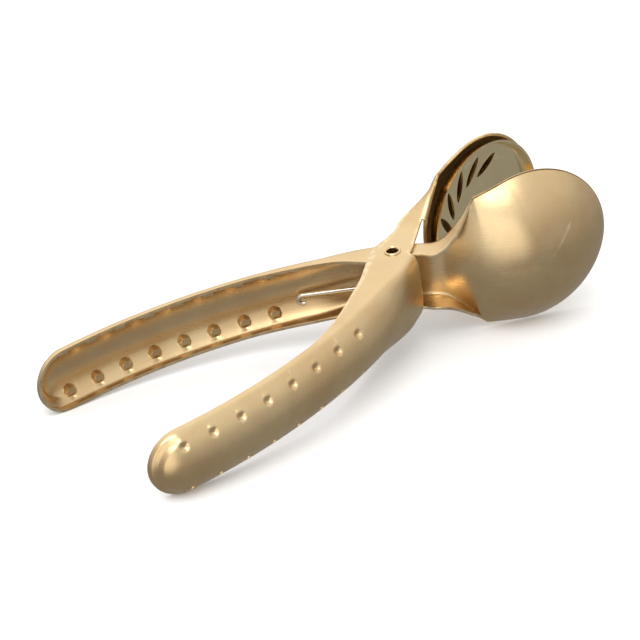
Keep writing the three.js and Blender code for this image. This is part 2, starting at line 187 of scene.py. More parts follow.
# A place on the sheet: s along the fold line, lift outwards from it, z along the rivet.
def place(s, lift, z):
    slope = s / lever["handleArc"]
    x = arcCentre.x + lever["handleArc"] * math.sin(slope)
    y = arcCentre.y + lever["handleArc"] * math.cos(slope)
    if s > bendFrom:
        slope = max(lever["jawAngle"], bendFrom / lever["handleArc"] - (s - bendFrom) / lever["bendRadius"])
        past = max(0.0, s - straightFrom)
        x = bendCentre.x - lever["bendRadius"] * math.sin(slope) + past * math.cos(slope)
        y = bendCentre.y - lever["bendRadius"] * math.cos(slope) - past * math.sin(slope)
    return Vector((x + lift * math.sin(slope), y + lift * math.cos(slope), z))


# How high the web stands at z: a round arc, or nearly flat with round corners where it is square.
def webLift(bow, half, z, square):
    if abs(bow) < 0.02:
        return 0.0
    radius = (bow * bow + half * half) / (2 * abs(bow))
    arc = math.copysign(abs(bow) - radius + math.sqrt(max(0.0, radius * radius - z * z)), bow)
    if square <= 0 or bow < 0:
        return arc
    power = lever["squareness"]
    return mix(arc, bow * max(0.0, 1 - abs(z / half) ** power) ** (1 / power), square)


# From the fold line to the far side of the rivet hole.
cornerDepth = pivotDepth + drillRadius
bowlLever = {
    "handleEnd": -6.3,              # arc length to the centre of the handle's rounded end
    "half": 9.5, "jawRadius": 25.4, "jawDepth": 13.0, "flare": 1.12, "easeShare": 0.35,
    "margin": 1.5,                  # sheet left round the rivet hole
    "cheekShares": [(-10, 0.68), (-4, 0.97), (0, 0.98), (5, 0.76), (8, 0.74), (11, 0.86), (14, 0.87)],
    "handleCheek": [(-50, 0), (-30, 1), (-17, 2)],
    "cornerShare": 0.64,
    "mirrored": False,
}
strainerLever = {
    "handleEnd": -4.5,
    "half": 10.8, "jawRadius": 26.2, "jawDepth": 12.0, "flare": 1.25, "easeShare": 0.7,
    "margin": 3.9,
    "cheekShares": [(-26, 0.57), (-17, 0.7), (-9, 0.87), (0, 1), (5, 0.9), (11, 0.76), (16, 0.7)],
    "handleCheek": [(-56, 0), (-40, 1.8)],
    "cornerShare": 0.5,
    "mirrored": True,
    "windowStart": 4.2,             # x where the web is cut off
    "windowEnd": 17.2,              # distance along the jaw where it starts again
    "windowColumn": 1.84,
}


# Values that follow from a lever's own sizes.
def prepare(sizes):
    deep = cornerDepth + sizes["margin"]
    pairs = [(pivotAt + at, lever["handleLip"] + more) for at, more in sizes["handleCheek"]]
    pairs += [(pivotAt + at, share * deep) for at, share in sizes["cheekShares"]]
    pairs += [(cornerAt - lever["cornerRise"], sizes["cornerShare"] * deep), (cornerAt, lever["rimEdge"])]
    sizes["cheekPairs"] = pairs
    sizes["cornerHalf"] = math.sqrt(sizes["jawRadius"] ** 2 - lever["cornerBack"] ** 2) + lever["cornerWide"]
    sizes["flareAt"] = cornerAt - (sizes["cornerHalf"] - sizes["half"]) / sizes["flare"]
    sizes["ease"] = sizes["easeShare"] * (cornerAt - sizes["flareAt"])
    cornerReach = math.hypot(lever["cornerBack"], sizes["cornerHalf"])
    cornerTurn = math.atan2(sizes["cornerHalf"], -lever["cornerBack"])
    sizes["touch"] = cornerTurn - math.acos(sizes["jawRadius"] / cornerReach)
    sizes["shift"] = endRun - sizes["handleEnd"]
    sizes["run"] = jawAt + sizes["shift"] + sizes["touch"] * sizes["jawRadius"]


def halfAt(sizes, s):
    past = s - sizes["flareAt"]
    if past > sizes["ease"]:
        return sizes["half"] + sizes["flare"] * past
    if past > -sizes["ease"]:
        return sizes["half"] + sizes["flare"] * (past + sizes["ease"]) ** 2 / (4 * sizes["ease"])
    return through([(pivotAt + lever["neckFrom"], lever["handleHalf"]),
                    (pivotAt + lever["neckTo"], sizes["half"])], s)


def bowAt(sizes, s):
    back = (jawAt - s) / (sizes["jawRadius"] + lever["domeRun"])
    dome = sizes["jawDepth"] * (1 - max(0.0, back) ** 2) ** lever["domePower"] if back < 1 else 0.0
    crown = through([(pivotAt + lever["crownFrom"], lever["handleCrown"]), (pivotAt, lever["pivotCrown"]),
                     (pivotAt + lever["crownTo"], 0.0)], s)
    return crown - dome


# One line across the lever; u runs from the handle's tip along the outline to the jaw's tip.
def station(sizes, u):
    along = u - sizes["shift"]
    if u < endRun:
        turn = u / lever["handleHalf"]
        return {"spine": sizes["handleEnd"],
                "edge": sizes["handleEnd"] - lever["handleHalf"] * math.cos(turn),
                "half": lever["handleHalf"] * math.sin(turn), "across": lever["handleHalf"],
                "bow": lever["handleCrown"], "cheek": lever["handleLip"], "tip": math.cos(turn)}
    line = {"spine": min(along, jawAt), "edge": along, "bow": bowAt(sizes, min(along, jawAt)),
            "cheek": through(sizes["cheekPairs"], along), "tip": 0.0}
    if along < cornerAt:
        line["half"] = halfAt(sizes, along)
    elif along < jawAt:
        t = (along - cornerAt) / (jawAt - cornerAt)
        line["half"] = mix(sizes["cornerHalf"], sizes["jawRadius"] * math.sin(sizes["touch"]), t)
        line["edge"] = mix(cornerAt, jawAt + sizes["jawRadius"] * math.cos(sizes["touch"]), t)
    else:
        turn = max(0.0, sizes["touch"] - (along - jawAt) / sizes["jawRadius"])
        line["edge"] = jawAt + sizes["jawRadius"] * math.cos(turn)
        line["half"] = sizes["jawRadius"] * math.sin(turn)
    line["across"] = sizes["jawRadius"] if along >= jawAt else line["half"]
    return line


# The section of the sheet on such a line: a cheek this deep has its full fold, the handle's round end has
# its full step past this share, and there the web falls away at this slope.
fullCheek = 3.0
fullTip = 0.7
tipSlope = -0.2
slopeStep = 0.05                    # the web's slope is read over this width
footShare = 0.9                     # the fold takes at most this share of the cheek


# The sheet's middle on that line: v is 0..1 across the web, 1..2 round the fold and 2..3 down the cheek.
def section(line, v):
    across = line["across"]
    fromRivet = line["spine"] - pivotAt
    cheeked = smooth(line["cheek"], lever["rimEdge"], fullCheek)
    square = smooth(fromRivet, *lever["squareFrom"]) * (1 - smooth(fromRivet, *lever["squareTo"]))
    necked = smooth(fromRivet, lever["softFrom"], 0)
    soft = mix(lever["rimSoft"], mix(lever["webSoft"], lever["neckSoft"], necked), cheeked)
    foldZ = across - soft
    tipped = smooth(line["tip"], 0.0, fullTip)
    step = tipped * lever["stepDrop"]
    if v <= 1:
        z = v * foldZ
        dropped = step * smooth(z / across, lever["stepFrom"], lever["stepTo"])
        return z, webLift(line["bow"], across, z, square) - dropped
    foldLift = webLift(line["bow"], across, foldZ, square)
    slope = (foldLift - webLift(line["bow"], across, foldZ - slopeStep, square)) / slopeStep
    slope = mix(slope, tipSlope, tipped)
    start = (foldZ, foldLift - step)
    knee = (across, start[1] + slope * soft)
    foot = (across, max(knee[1] - soft, mix(knee[1], -line["cheek"], footShare)))
    if v <= 2:
        t = v - 1
        return tuple((1 - t) ** 2 * start[k] + 2 * t * (1 - t) * knee[k] + t * t * foot[k] for k in range(2))
    return across, mix(foot[1], -line["cheek"], v - 2)


# A point of the sheet's middle, and its place on the sheet laid flat, which the grain follows.
def sheetPoint(sizes, u, v):
    line = station(sizes, u)
    z, lift = section(line, abs(v))
    share = z / line["across"]
    s = mix(line["spine"], line["edge"], share)
    side = math.copysign(share * line["half"], v)
    down = max(0.0, abs(v) - 1) * (line["cheek"] + 1)
    return place(s, lift, side), (s, side + math.copysign(down, v))


# Values from (end, count) stops, each stretch split evenly.
def graded(stops):
    values = [stops[0][0]]
    for end, count in stops[1:]:
        start = values[-1]
        values += [mix(start, end, (k + 1) / count) for k in range(count)]
    return values


dimpleStretch = lever["handleArc"] / (lever["handleArc"] + lever["handleCrown"] - dimples["drop"])
dimpleAt = [dimples["first"] + k * dimples["pitch"] * dimpleStretch for k in range(dimples["rows"])]
handleWeb = lever["handleHalf"] - lever["webSoft"]
windowFrom = lever["handleArc"] * math.asin(
    (strainerLever["windowStart"] - arcCentre.x) / (lever["handleArc"] + lever["pivotCrown"]))
windowTo = jawAt - lever["jawReach"] + strainerLever["windowEnd"]


# Rows lie close together round each dimple and the jaw, columns close together under the dimple rows.
def gridRows(sizes):
    close = dimples["close"]
    shift = sizes["shift"]
    stops = [(0.0, 0)]
    for s in dimpleAt:
        stops.append((s - close + shift, grid["between"] if s > dimpleAt[0] else grid["tip"]))
        stops.append((s + close + shift, grid["dimple"]))
    stops += [(pivotAt + grid["rivetFrom"] + shift, grid["neck"]), (windowFrom + shift, grid["rivet"]),
              (windowTo + shift, grid["window"]), (cornerAt + shift, grid["dish"]),
              (jawAt + shift, grid["corner"]), (sizes["run"], grid["rim"])]
    return graded(stops)


def gridColumns():
    closeFrom = (dimples["height"] - dimples["bumpFoot"]) / handleWeb
    half = graded([(0.0, 0), (closeFrom, grid["crown"]), (1.0, grid["underDimples"]), (2.0, grid["fold"]),
                   (3.0, grid["cheek"])])
    return [-v for v in reversed(half[1:])] + half


# Pulls grid points near a dimple onto rings round it. Gives (u, v, distance from the dimple's centre,
# the centre's arc length), with a distance past every ring and no centre where no dimple is near.
def ringed(sizes, u, v):
    radial = abs(v) * handleWeb
    turn = min(0.5 * math.pi, u / lever["handleHalf"])
    s = sizes["handleEnd"] - radial * math.cos(turn) + max(0.0, u - endRun)
    height = radial * math.sin(turn)
    for centre in dimpleAt:
        along = s - centre
        across = height - dimples["height"]
        square = max(abs(along), abs(across))
        if 0 < square < dimples["ease"] and abs(v) <= dimples["foldShare"]:
            straight = math.hypot(along, across)
            pull = mix(square / straight, 1.0, smooth(square, dimples["ring"], dimples["ease"]))
            s = centre + along * pull
            height = dimples["height"] + across * pull
            back = sizes["handleEnd"] - s
            if back > 0:
                radial = math.hypot(back, height)
                u = math.atan2(height, back) * lever["handleHalf"]
            else:
                radial = height
                u = endRun - back
            return u, math.copysign(radial / handleWeb, v), straight * pull, centre
        if square == 0:
            return u, v, 0.0, centre
    return u, v, dimples["none"], None


def choose(piece):
    bpy.ops.object.select_all(action="DESELECT")
    piece.select_set(True)
    bpy.context.view_layer.objects.active = piece


def startEdit(piece):
    choose(piece)
    bpy.ops.object.mode_set(mode="EDIT")
    bpy.ops.mesh.select_all(action="DESELECT")


def endEdit():
    bpy.ops.object.mode_set(mode="OBJECT")


# Adds a modifier with its values and applies it.
def finishWith(piece, kind, **values):
    choose(piece)
    modifier = piece.modifiers.new(kind.title(), kind)
    for key, value in values.items():
        setattr(modifier, key, value)
    bpy.ops.object.modifier_apply(modifier=modifier.name)


# Takes a piece drawn in the flat lever frame to its place in the press.
def settle(piece, smoothAngle=38):
    piece.data.transform(pressPlace @ piece.matrix_world)
    piece.matrix_world = Matrix.Identity(4)
    choose(piece)
    bpy.ops.object.shade_smooth_by_angle(angle=math.radians(smoothAngle))


# Presses the dents into the outer face and the bumps out of the inner face, straight through the handle.
def pressDimples(piece):
    reach = piece.data.attributes["pressReach"].data
    axis = piece.data.attributes["pressAxis"].data
    centre = piece.data.attributes["pressCentre"].data
    skin = 0.5 * lever["sheet"] * dimples["tilt"]
    for vertex in piece.data.vertices:
        r = reach[vertex.index].value
        if r > dimples["ring"]:
            continue
        out = axis[vertex.index].vector
        height = (vertex.co - centre[vertex.index].vector).dot(out)
        slope = (vertex.co.z - centre[vertex.index].vector.z) * math.sqrt(dimples["tilt"] ** 2 - 1)
        if height + math.copysign(slope, centre[vertex.index].vector.z) > 0:
            share = 1 - smooth(r, dimples["dentFloor"], dimples["dentRadius"])
            vertex.co += out * share * (skin - dimples["dentDepth"] - height)
        else:
            share = 1 - smooth(r, dimples["bumpTop"], dimples["bumpFoot"])
            vertex.co += out * share * (-skin - dimples["bumpRise"] - height)
    for name in ("pressReach", "pressAxis", "pressCentre"):
        piece.data.attributes.remove(piece.data.attributes[name])


# A pressed lever: a grid laid onto the drawing, given its thickness, then dimpled.
def makeLever(name, sizes):
    prepare(sizes)
    rows = gridRows(sizes)
    columns = gridColumns()
    bpy.ops.mesh.primitive_grid_add(x_subdivisions=len(rows) - 1, y_subdivisions=len(columns) - 1, size=2)
    piece = bpy.context.object
    piece.name = name
    mesh = piece.data
    reach = mesh.attributes.new("pressReach", "FLOAT", "POINT").data
    axis = mesh.attributes.new("pressAxis", "FLOAT_VECTOR", "POINT").data
    spots = mesh.attributes.new("pressCentre", "FLOAT_VECTOR", "POINT").data
    side = -1 if sizes["mirrored"] else 1
    webHigh = webLift(lever["handleCrown"], lever["handleHalf"], dimples["height"], 0)
    flat = []
    lineOf = []
    for vertex in mesh.vertices:
        u = rows[round((vertex.co.x + 1) / 2 * (len(rows) - 1))]
        v = columns[round((vertex.co.y + 1) / 2 * (len(columns) - 1))]
        lineOf.append((u - sizes["shift"], abs(v)))
        u, v, r, centre = ringed(sizes, u, v)
        point, onFlat = sheetPoint(sizes, u, v)
        vertex.co = (point.x, side * point.y, point.z)
        flat.append((onFlat[0] / 100, onFlat[1] / 100))
        reach[vertex.index].value = r
        if centre is not None:
            spot = place(centre, webHigh, math.copysign(dimples["height"], v))
            out = place(centre, 1, 0) - place(centre, 0, 0)
            spots[vertex.index].vector = (spot.x, side * spot.y, spot.z)
            axis[vertex.index].vector = (out.x, side * out.y, 0)
    uv = mesh.uv_layers[0].data
    for loop in mesh.loops:
        uv[loop.index].uv = flat[loop.vertex_index]
    if "windowStart" in sizes:
        cutWindow(piece, sizes, lineOf)
    startEdit(piece)
    bpy.ops.mesh.select_all(action="SELECT")
    bpy.ops.mesh.remove_doubles(threshold=weldReach)
    if not sizes["mirrored"]:
        bpy.ops.mesh.flip_normals()
    endEdit()
    finishWith(piece, "SOLIDIFY", thickness=lever["sheet"], offset=0.0, use_even_offset=True,
               use_quality_normals=True)
    finishWith(piece, "BEVEL", width=lever["rimRound"], segments=2, limit_method="ANGLE",
               angle_limit=lever["rimAngle"])
    pressDimples(piece)
    drillRivetHole(piece)
    settle(piece)
    print(name, "pressed,", len(piece.data.polygons), "faces")
    return piece


# The strainer lever's web is cut away beside the rivet, so that the bowl lever can pass through it.
# A turn in edit mode first clears what was selected.
def cutWindow(piece, sizes, lineOf):
    startEdit(piece)
    endEdit()
    for face in piece.data.polygons:
        s = sum(lineOf[k][0] for k in face.vertices) / len(face.vertices)
        v = sum(lineOf[k][1] for k in face.vertices) / len(face.vertices)
        face.select = windowFrom < s < windowTo and v < sizes["windowColumn"]
    bpy.ops.object.mode_set(mode="EDIT")
    bpy.ops.mesh.select_mode(type="FACE")
    bpy.ops.mesh.delete(type="FACE")
    bpy.ops.mesh.select_mode(type="VERT")
    endEdit()


def drillRivetHole(piece):
    bpy.ops.object.select_all(action="DESELECT")
    bpy.ops.mesh.primitive_cylinder_add(vertices=rivet["sides"], radius=drillRadius, depth=rivet["drill"])
    drill = bpy.context.object
    finishWith(piece, "BOOLEAN", operation="DIFFERENCE", solver="EXACT", object=drill)
    bpy.data.objects.remove(drill)


# Draws the chosen ring on through each (radius, height) of the profile.
def drawRings(profile):
    for (r0, z0), (r1, z1) in zip(profile, profile[1:]):
        bpy.ops.mesh.extrude_edges_move(TRANSFORM_OT_translate={"value": (0, 0, z1 - z0)})
        bpy.ops.transform.resize(value=(r1 / r0, r1 / r0, 1), center_override=(0, 0, z1))


# Starts a piece as a ring, in edit mode with the ring chosen.
def startRing(name, sides, radius):
    bpy.ops.object.select_all(action="DESELECT")
    bpy.ops.mesh.primitive_circle_add(vertices=sides, radius=radius, fill_type="NOTHING")
    piece = bpy.context.object
    piece.name = name
    bpy.ops.object.mode_set(mode="EDIT")
    bpy.ops.mesh.select_all(action="SELECT")
    return piece


# The hollow rivet: a ring drawn up the tube and rolled outwards over each cheek.
def makeRivet():
    tube = rivet["hole"] + rivet["wall"]
    seat = strainerLever["half"] + 0.5 * lever["sheet"] + rivet["gap"]
    bead = 0.5 * rivet["roll"]
    rim = tube + rivet["flange"] - bead
    profile = [(rivet["hole"], 0.0), (rivet["hole"], seat)]
    for k in range(1, rivet["rollParts"]):
        turn = math.radians(rivet["rollFrom"] - k * rivet["rollStep"])
        outwards = 0.5 - 0.5 * math.cos(math.radians(k * 180 / rivet["rollParts"]))
        profile.append((mix(rivet["hole"] + bead, rim, outwards) + 0.5 * bead * math.cos(turn),
                        seat + bead * (0.2 + max(-0.2, math.sin(turn)))))
    profile += [(tube + rivet["lip"], seat), (tube, seat - rivet["lipDepth"]), (tube, 0.0)]
    piece = startRing("pivotRivet", rivet["sides"], profile[0][0])
    drawRings(profile)
    bpy.ops.mesh.select_all(action="SELECT")
    bpy.ops.mesh.duplicate()
    bpy.ops.transform.resize(value=(1, 1, -1), center_override=(0, 0, 0))
    bpy.ops.mesh.select_all(action="SELECT")
    bpy.ops.mesh.remove_doubles(threshold=weldReach)
    bpy.ops.mesh.normals_make_consistent(inside=False)
    endEdit()
    settle(piece)
    print("rivet rolled")
    return piece


# The slotted pan in the dish, in mm; its slots are leaning leaves in a ring that is open away from the rivet.
pan = {
    "reach": 44.8, "radius": 24.9, "rimOffset": 0.3, "depth": 3.7, "taper": 0.9, "sheet": 0.8,
    "slots": 10, "slotFirst": math.radians(72), "slotCircle": 16.2, "slotLong": 10.4, "slotWide": 2.5,
    "slotLean": math.radians(48), "slotRound": 0.12, "slotAngle": math.radians(60), "slotSteps": 20,
    "slotPower": 1.35,              # above 1 the leaf's ends are pointed
    "sides": 144,
    "floorSoft": 0.7,               # inner round from wall to floor
    "softMore": 0.3,                # how much larger the outer round is
    "softParts": 4,
    "footOut": 0.15,                # the wall meets the round this far out
    "footUp": 0.2,                  # and this far above it, outside
}


# A quarter round from the wall's foot to the floor, as (radius, height).
def quarterRound(foot, floor, soft):
    turns = [math.radians(90 * k / pan["softParts"]) for k in range(1, pan["softParts"] + 1)]
    return [(foot - soft * (1 - math.cos(turn)), floor - soft * (1 - math.sin(turn))) for turn in turns]


def makePan():
    wallFoot = pan["radius"] - pan["taper"]
    soft = pan["floorSoft"]
    floor = pan["depth"]
    innerFoot = wallFoot - pan["sheet"]
    innerFloor = floor - pan["sheet"]
    profile = [(pan["radius"] - pan["sheet"], 0.0), (innerFoot + pan["footOut"], innerFloor - soft)]
    profile += quarterRound(innerFoot, innerFloor, soft)
    outer = [(pan["radius"], 0.0), (wallFoot + pan["footOut"], floor - soft - pan["footUp"])]
    outer += quarterRound(wallFoot, floor, soft + pan["softMore"])
    piece = startRing("strainerPan", pan["sides"], profile[0][0])
    drawRings(profile)
    bpy.ops.mesh.edge_face_add()
    bpy.ops.mesh.select_all(action="DESELECT")
    endEdit()
    for vertex in piece.data.vertices:
        if abs(vertex.co.z) < weldReach:
            vertex.select = True
    bpy.ops.object.mode_set(mode="EDIT")
    drawRings([profile[0]] + outer)
    bpy.ops.mesh.edge_face_add()
    bpy.ops.mesh.select_all(action="SELECT")
    bpy.ops.mesh.normals_make_consistent(inside=False)
    endEdit()
    cutSlots(piece)
    finishWith(piece, "BEVEL", width=pan["slotRound"], segments=2, limit_method="ANGLE",
               angle_limit=pan["slotAngle"])
    turnIn = Matrix.Rotation(lever["jawAngle"], 4, "Z") @ Matrix.Rotation(-0.5 * math.pi, 4, "X")
    cosine = math.cos(lever["jawAngle"])
    sine = math.sin(lever["jawAngle"])
    centre = Vector((pan["reach"] * cosine - pan["rimOffset"] * sine,
                     pan["reach"] * sine + pan["rimOffset"] * cosine, 0))
    piece.data.transform(Matrix.Translation(centre) @ turnIn)
    settle(piece)
    finishWith(piece, "WEIGHTED_NORMAL", keep_sharp=True, weight=100)
    print("pan drawn and slotted")
    return piece


# Each slot is a leaf, cut with a prism of the same outline.
def cutSlots(piece):
    between = 2 * (math.pi - pan["slotFirst"]) / (pan["slots"] - 1)
    for i in range(pan["slots"]):
        bpy.ops.object.select_all(action="DESELECT")
        bpy.ops.mesh.primitive_cylinder_add(vertices=2 * pan["slotSteps"], radius=1, depth=4 * pan["depth"])
        leaf = bpy.context.object
        for vertex in leaf.data.vertices:
            turn = math.atan2(vertex.co.y, vertex.co.x)
            vertex.co.x = 0.5 * pan["slotLong"] * math.cos(turn)
            vertex.co.y = math.copysign(0.5 * pan["slotWide"] * math.sin(abs(turn)) ** pan["slotPower"], turn)
        leaf.data.transform(Matrix.Rotation(pan["slotFirst"] + i * between, 4, "Z")
                            @ Matrix.Translation((pan["slotCircle"], 0, 0))
                            @ Matrix.Rotation(pan["slotLean"], 4, "Z"))
        finishWith(piece, "BOOLEAN", operation="DIFFERENCE", solver="EXACT", object=leaf)
        bpy.data.objects.remove(leaf)


# The spring: a coil round the rivet with a leg along the inside of each handle, each leg curled at its end.
spring = {
    "wire": 1.4, "coil": 4.1, "turns": 3, "pitch": 1.7, "legReach": 29.0, "gap": 0.3, "curl": 1.5,
    "crownShare": 0.8,              # the web stands this high where the leg ends
    "curlStep": 30, "curlSteps": 7,
    "legShares": (0.0, 0.2, 0.4, 0.6, 0.8, 0.92),
    "turnSteps": 32,
}


def springPath():
    lift = spring["crownShare"] * lever["handleCrown"] - 0.5 * (lever["sheet"] + spring["wire"]) - spring["gap"]
    tip = place(pivotAt - spring["legReach"], lift, 0)
    leave = math.atan2(tip.y, tip.x) - math.acos(spring["coil"] / math.hypot(tip.x, tip.y))
    sweep = 2 * leave + 2 * math.pi * spring["turns"]
    low = -0.5 * spring["pitch"] * sweep / (2 * math.pi)
    touch = Vector((spring["coil"] * math.cos(leave), spring["coil"] * math.sin(leave), low))
    tip.z = low
    legWay = (tip - touch).normalized()
    down = Vector((0, 0, -1))
    leg = []
    for k in range(spring["curlSteps"], 0, -1):
        turn = math.radians(spring["curlStep"] * k)
        leg.append(tip + spring["curl"] * ((1 - math.cos(turn)) * down + math.sin(turn) * legWay))
    leg += [tip.lerp(touch, t) for t in spring["legShares"]]
    steps = spring["turns"] * spring["turnSteps"]
    coil = []
    for i in range(steps + 1):
        turn = leave - sweep * i / steps
        coil.append(Vector((spring["coil"] * math.cos(turn), spring["coil"] * math.sin(turn),
                            low - 2 * low * i / steps)))
    return leg + coil + [Vector((p.x, -p.y, -p.z)) for p in reversed(leg)]


def makeSpring():
    points = springPath()
    curve = bpy.data.curves.new("torsionSpring", "CURVE")
    curve.dimensions = "3D"
    curve.bevel_depth = 0.5 * spring["wire"]
    curve.bevel_resolution = 4
    curve.use_fill_caps = True
    line = curve.splines.new("POLY")
    line.points.add(len(points) - 1)
    for target, point in zip(line.points, points):
        target.co = (point.x, point.y, point.z, 1)
    piece = bpy.data.objects.new("torsionSpring", curve)
    bpy.context.collection.objects.link(piece)
    choose(piece)
    bpy.ops.object.convert(target="MESH")
    piece = bpy.context.object
    settle(piece, smoothAngle=60)
    print("spring wound")
    return piece


def addNode(tree, kind, place, values=None, **settings):
    node = tree.nodes.new(kind)
    node.location = place
    for key, value in settings.items():
        setattr(node, key, value)
    for key, value in (values or {}).items():
        node.inputs[key].default_value = value
    return node


# A node group with named float or colour sockets.
def newGroup(name, inputs, outputs):
    tree = bpy.data.node_groups.new(name, "ShaderNodeTree")
    for label, kind, value in inputs:
        socket = tree.interface.new_socket(name=label, in_out="INPUT", socket_type=kind)
        if value is not None:
            socket.default_value = value
    for label, kind in outputs:
        tree.interface.new_socket(name=label, in_out="OUTPUT", socket_type=kind)
    return tree, addNode(tree, "NodeGroupInput", (-900, 0)), addNode(tree, "NodeGroupOutput", (600, 0))


# Brush lines: long thin noise, in two sizes.
def makeBrushGroup():
    tree, enter, leave = newGroup(
        "brushLines", [("Vector", "NodeSocketVector", None), ("Along", "NodeSocketFloat", 40.0),
                       ("Across", "NodeSocketFloat", 2000.0)],
        [("Lines", "NodeSocketFloat"), ("Height", "NodeSocketFloat")])
    stretch = addNode(tree, "ShaderNodeCombineXYZ", (-700, -100))
    scaled = addNode(tree, "ShaderNodeVectorMath", (-500, 0), operation="MULTIPLY")
    fine = addNode(tree, "ShaderNodeTexNoise", (-300, 100), {"Scale": 1.0, "Detail": 2.0, "Roughness": 0.6})
    broad = addNode(tree, "ShaderNodeTexNoise", (-300, -200), {"Scale": 0.31, "Detail": 1.0})
    both = addNode(tree, "ShaderNodeMix", (0, 0), {"Factor": 0.4}, data_type="FLOAT")
    join = tree.links.new
    join(enter.outputs["Along"], stretch.inputs["X"])
    join(enter.outputs["Across"], stretch.inputs["Y"])
    join(enter.outputs["Across"], stretch.inputs["Z"])
    join(enter.outputs["Vector"], scaled.inputs[0])
    join(stretch.outputs["Vector"], scaled.inputs[1])
    join(scaled.outputs["Vector"], fine.inputs["Vector"])
    join(scaled.outputs["Vector"], broad.inputs["Vector"])
    join(fine.outputs["Fac"], both.inputs["A"])
    join(broad.outputs["Fac"], both.inputs["B"])
    join(both.outputs["Result"], leave.inputs["Lines"])
    join(fine.outputs["Fac"], leave.inputs["Height"])
    return tree


# Clouds: the coating's slow drift between yellow and rose, and small dull smudges.
def makeCloudGroup():
    tree, enter, leave = newGroup(
        "coatClouds", [("Size", "NodeSocketFloat", 70.0)],
        [("Cloud", "NodeSocketFloat"), ("Smudge", "NodeSocketFloat")])
    where = addNode(tree, "ShaderNodeTexCoord", (-700, 0))
    slow = addNode(tree, "ShaderNodeTexNoise", (-450, 150), {
        "Detail": 3.0, "Roughness": 0.55, "Distortion": 0.4})
    cloud = addNode(tree, "ShaderNodeMapRange", (-200, 150), {"From Min": 0.36, "From Max": 0.64})
    quick = addNode(tree, "ShaderNodeTexNoise", (-450, -150), {
        "Scale": 260.0, "Detail": 4.0, "Roughness": 0.7})
    smudge = addNode(tree, "ShaderNodeMapRange", (-200, -150), {"From Min": 0.55, "From Max": 0.75})
    join = tree.links.new
    join(enter.outputs["Size"], slow.inputs["Scale"])
    join(where.outputs["Object"], slow.inputs["Vector"])
    join(where.outputs["Object"], quick.inputs["Vector"])
    join(slow.outputs["Fac"], cloud.inputs["Value"])
    join(quick.outputs["Fac"], smudge.inputs["Value"])
    join(cloud.outputs["Result"], leave.inputs["Cloud"])
    join(smudge.outputs["Result"], leave.inputs["Smudge"])
    return tree


# Edge wear: bright rubbed edges, broken up by noise.
def makeWearGroup():
    tree, enter, leave = newGroup(
        "edgeWear", [("From", "NodeSocketFloat", 0.53), ("To", "NodeSocketFloat", 0.62)],
        [("Wear", "NodeSocketFloat")])
    shape = addNode(tree, "ShaderNodeNewGeometry", (-700, 100))
    edge = addNode(tree, "ShaderNodeMapRange", (-400, 100))
    where = addNode(tree, "ShaderNodeTexCoord", (-700, -200))
    patchy = addNode(tree, "ShaderNodeTexNoise", (-450, -200), {"Scale": 420.0, "Detail": 3.0})
    broken = addNode(tree, "ShaderNodeMapRange", (-200, -200), {"From Min": 0.35, "From Max": 0.6})
    both = addNode(tree, "ShaderNodeMath", (100, 0), operation="MULTIPLY")
    join = tree.links.new
    join(shape.outputs["Pointiness"], edge.inputs["Value"])
    join(enter.outputs["From"], edge.inputs["From Min"])
    join(enter.outputs["To"], edge.inputs["From Max"])
    join(where.outputs["Object"], patchy.inputs["Vector"])
    join(patchy.outputs["Fac"], broken.inputs["Value"])
    join(edge.outputs["Result"], both.inputs[0])
    join(broken.outputs["Result"], both.inputs[1])
    join(both.outputs["Value"], leave.inputs["Wear"])
    return tree


brushLines = makeBrushGroup()
coatClouds = makeCloudGroup()
edgeWear = makeWearGroup()
smudgeShare = 0.35                  # how far a smudge dulls the surface

# The finishes: two tones of the coating, its worn edge, and how rough it is.
satinGold = {
    "name": "satinGold",
    "light": (0.72, 0.54, 0.30), "deep": (0.66, 0.46, 0.24), "worn": (0.84, 0.68, 0.42),
    "roughFrom": 0.25, "roughTo": 0.36, "along": 16.0, "across": 420.0, "bump": 0.10,
    "cloudSize": 55.0, "onSheet": True,
}
mirrorGold = {
    "name": "mirrorGold",
    "light": (0.84, 0.70, 0.42), "deep": (0.80, 0.65, 0.38), "worn": (0.92, 0.78, 0.52),
    "roughFrom": 0.035, "roughTo": 0.09, "along": 60.0, "across": 900.0, "bump": 0.012,
    "cloudSize": 60.0, "onSheet": False,
}
rivetGold = {
    "name": "rivetGold",
    "light": (0.86, 0.68, 0.38), "deep": (0.78, 0.56, 0.28), "worn": (0.93, 0.80, 0.55),
    "roughFrom": 0.16, "roughTo": 0.28, "along": 300.0, "across": 900.0, "bump": 0.05,
    "cloudSize": 150.0, "onSheet": False,
}
springSteel = {
    "name": "springSteel",
    "light": (0.70, 0.66, 0.58), "deep": (0.60, 0.54, 0.45), "worn": (0.85, 0.82, 0.76),
    "roughFrom": 0.14, "roughTo": 0.26, "along": 200.0, "across": 1500.0, "bump": 0.05,
    "cloudSize": 200.0, "onSheet": False,
}


